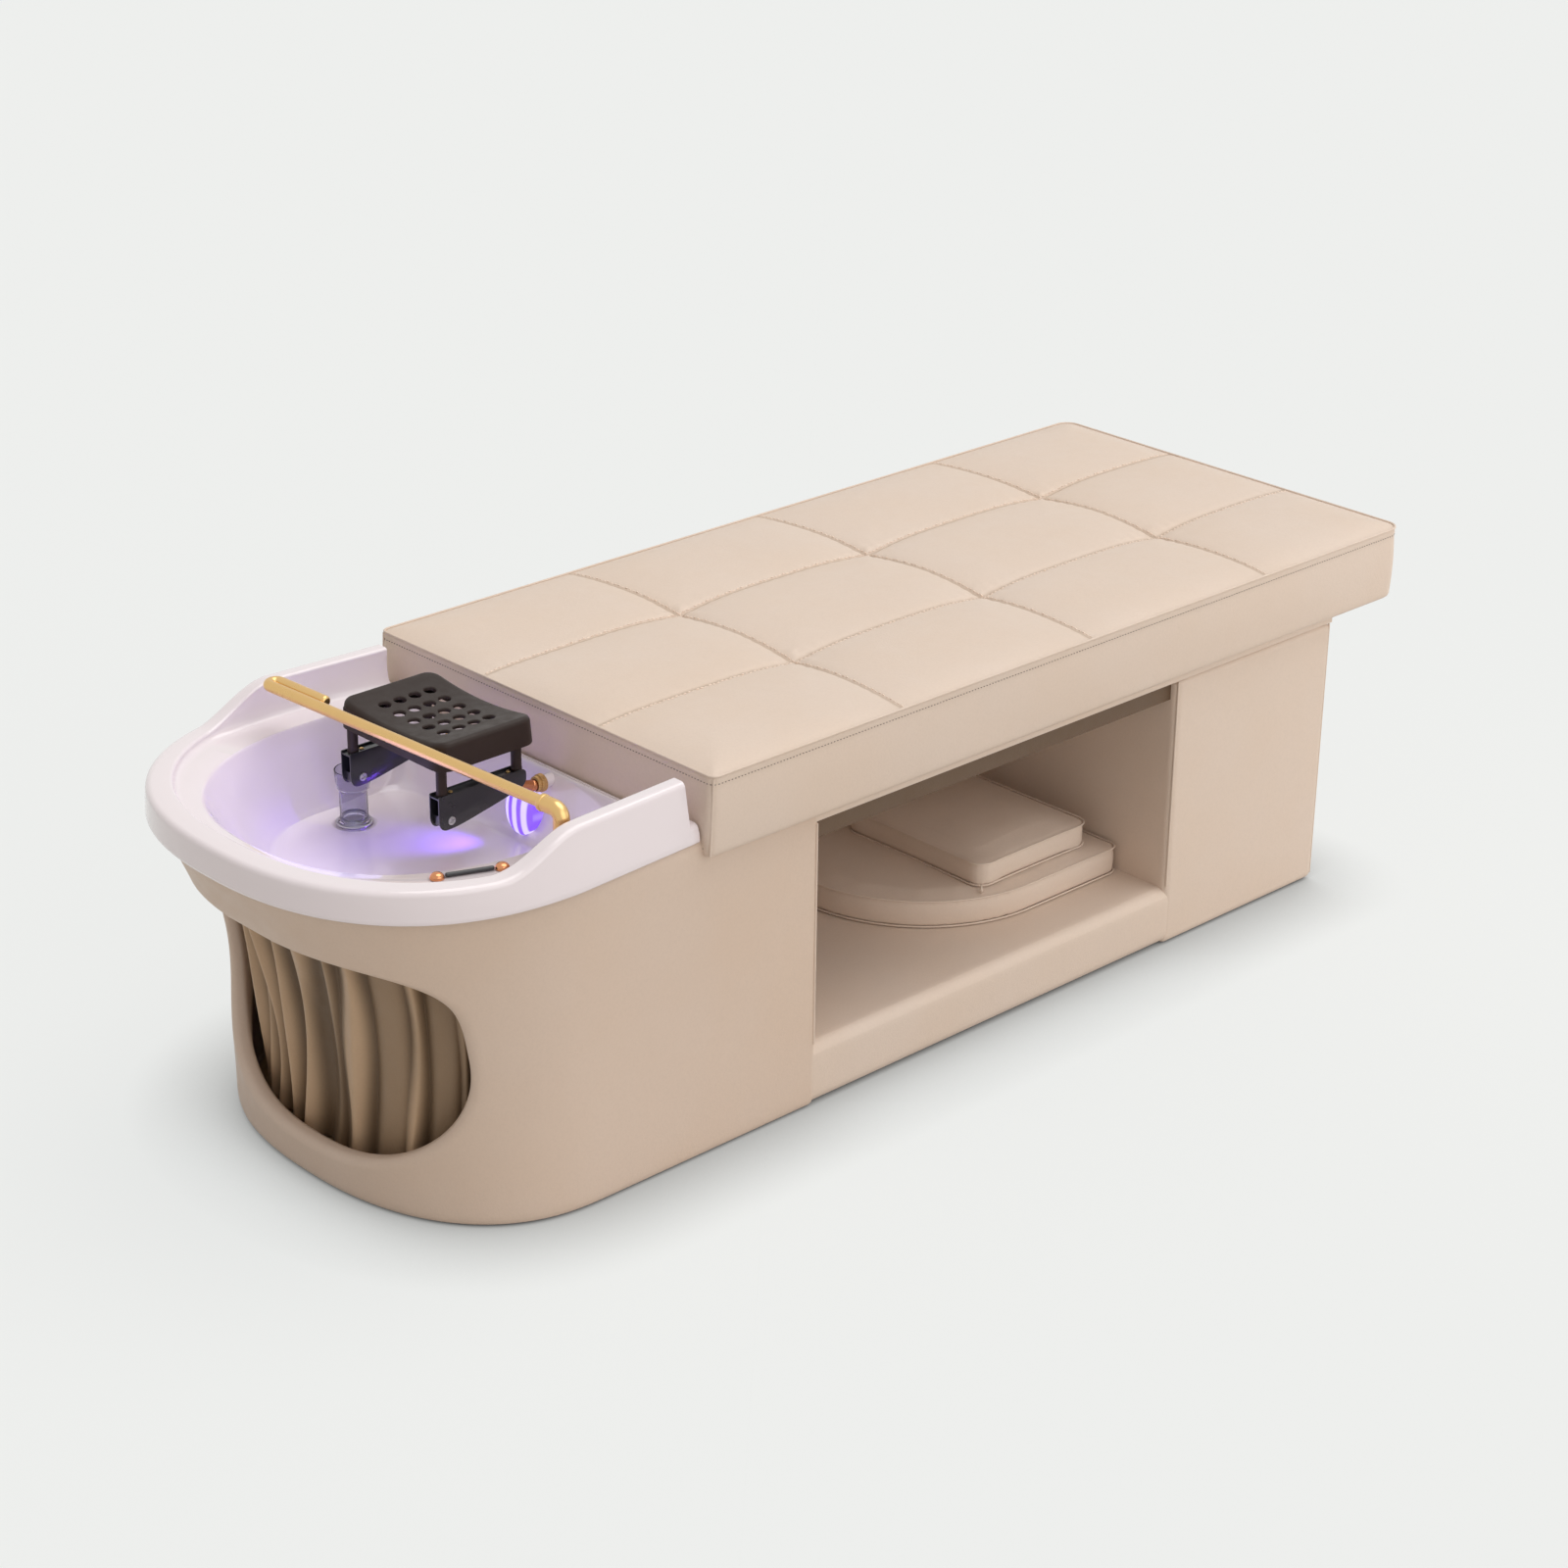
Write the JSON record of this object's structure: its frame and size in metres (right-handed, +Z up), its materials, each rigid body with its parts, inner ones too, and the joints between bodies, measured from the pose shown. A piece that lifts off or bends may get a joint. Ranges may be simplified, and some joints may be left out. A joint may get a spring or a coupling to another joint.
{
  "type": "hair washing bed",
  "caption": "Low upholstered washing bed: quilted mattress over an open storage bay, white basin with headrest and water bar, and a cabinet closed by a curtain.",
  "frame": {"origin": "centre of the bed's outline on the floor", "axes": "+X from the basin towards the foot, +Z up, -Y the side with the open storage bay shown in the picture"},
  "size_m": [2.0694, 0.729, 0.6094],
  "materials": {
    "leather": "light beige synthetic leather, soft sheen, fine grain",
    "leather shade": "brown-beige synthetic leather, soft sheen",
    "basin white": "glossy white acrylic",
    "moulded dark": "dark moulded plastic, soft satin",
    "black steel": "black satin coat",
    "steel": "satin steel",
    "gold": "polished gold-coloured brass",
    "copper": "polished copper-coloured plate",
    "clear": "clear polished plastic",
    "plywood": "plain birch plywood",
    "grey plastic": "grey moulded plastic",
    "white plastic": "white moulded plastic",
    "rubber": "black rubber"
  },
  "bodies": {
    "bed": {"head_cabinet": "leather shade", "cabinet_floor": "plywood", "storage_shelf": "leather", "bay_back_panel": "leather shade", "pedestal": "leather", "pedestal_floor": "plywood", "bay_front_rail": "leather", "bay_rear_rail": "leather", "deck_board": "leather", "floor_glide_1": "rubber", "floor_glide_2": "rubber", "floor_glide_3": "rubber", "floor_glide_4": "rubber", "floor_glide_5": "rubber", "floor_glide_6": "rubber", "floor_glide_7": "rubber", "mattress_board": "plywood", "mattress": "leather", "basin": "basin white", "drain_flange": "steel", "bottle_trap": "white plastic", "waste_hose": "grey plastic", "waste_outlet": "grey plastic", "headrest_plate": "moulded dark", "headrest_post_near_head": "moulded dark", "channel_screw_near_head": "gold", "headrest_post_near_foot": "moulded dark", "channel_screw_near_foot": "gold", "headrest_channel_near": "black steel", "headrest_strap_near": "steel", "pivot_screw_near": "steel", "coned_spigot_near": "copper", "headrest_post_far_head": "moulded dark", "channel_screw_far_head": "gold", "headrest_post_far_foot": "moulded dark", "channel_screw_far_foot": "gold", "headrest_channel_far": "black steel", "headrest_strap_far": "steel", "pivot_screw_far": "steel", "coned_spigot_far": "copper", "ledge_stud_head": "copper", "ledge_stud_foot": "copper", "ledge_rail": "black steel", "curtain": "leather shade", "curtain_track": "white plastic", "heater_tank": "white plastic", "circulation_pump": "grey plastic", "mixing_valve": "steel", "supply_hose": "rubber", "control_box": "grey plastic", "light_module": "clear"},
    "water_bar_body": {"water_bar": "gold", "bar_riser": "gold"},
    "lock_ring_near_body": {"lock_ring_near": "gold"},
    "lock_ring_far_body": {"lock_ring_far": "gold"},
    "standpipe_body": {"standpipe": "clear"},
    "cover_pad_body": {"cover_pad": "leather"},
    "pillow_body": {"pillow": "leather"}
  },
  "joints": [
    {"name": "water_bar_swing", "type": "hinge", "parent": "bed", "child": "water_bar_body", "pos_m": [-0.68985, -0.302, 0.545], "axis": [0, 0, 1], "range_deg": [0, 60]},
    {"name": "lock_ring_near_turn", "type": "hinge", "parent": "bed", "child": "lock_ring_near_body", "pos_m": [-0.51175, -0.048, 0.496], "axis": [1, 0, 0], "range_deg": [0, 90]},
    {"name": "lock_ring_far_turn", "type": "hinge", "parent": "bed", "child": "lock_ring_far_body", "pos_m": [-0.51175, 0.152, 0.496], "axis": [1, 0, 0], "range_deg": [0, 90]},
    {"name": "standpipe_lift", "type": "slide", "parent": "bed", "child": "standpipe_body", "axis": [0, 0, 1], "range_m": [0, 0.08]},
    {"name": "cover_pad_pull", "type": "slide", "parent": "bed", "child": "cover_pad_body", "axis": [0, -1, 0], "range_m": [0, 0.3]},
    {"name": "pillow_pull", "type": "slide", "parent": "cover_pad_body", "child": "pillow_body", "axis": [0, -1, 0], "range_m": [0, 0.28]}
  ]
}
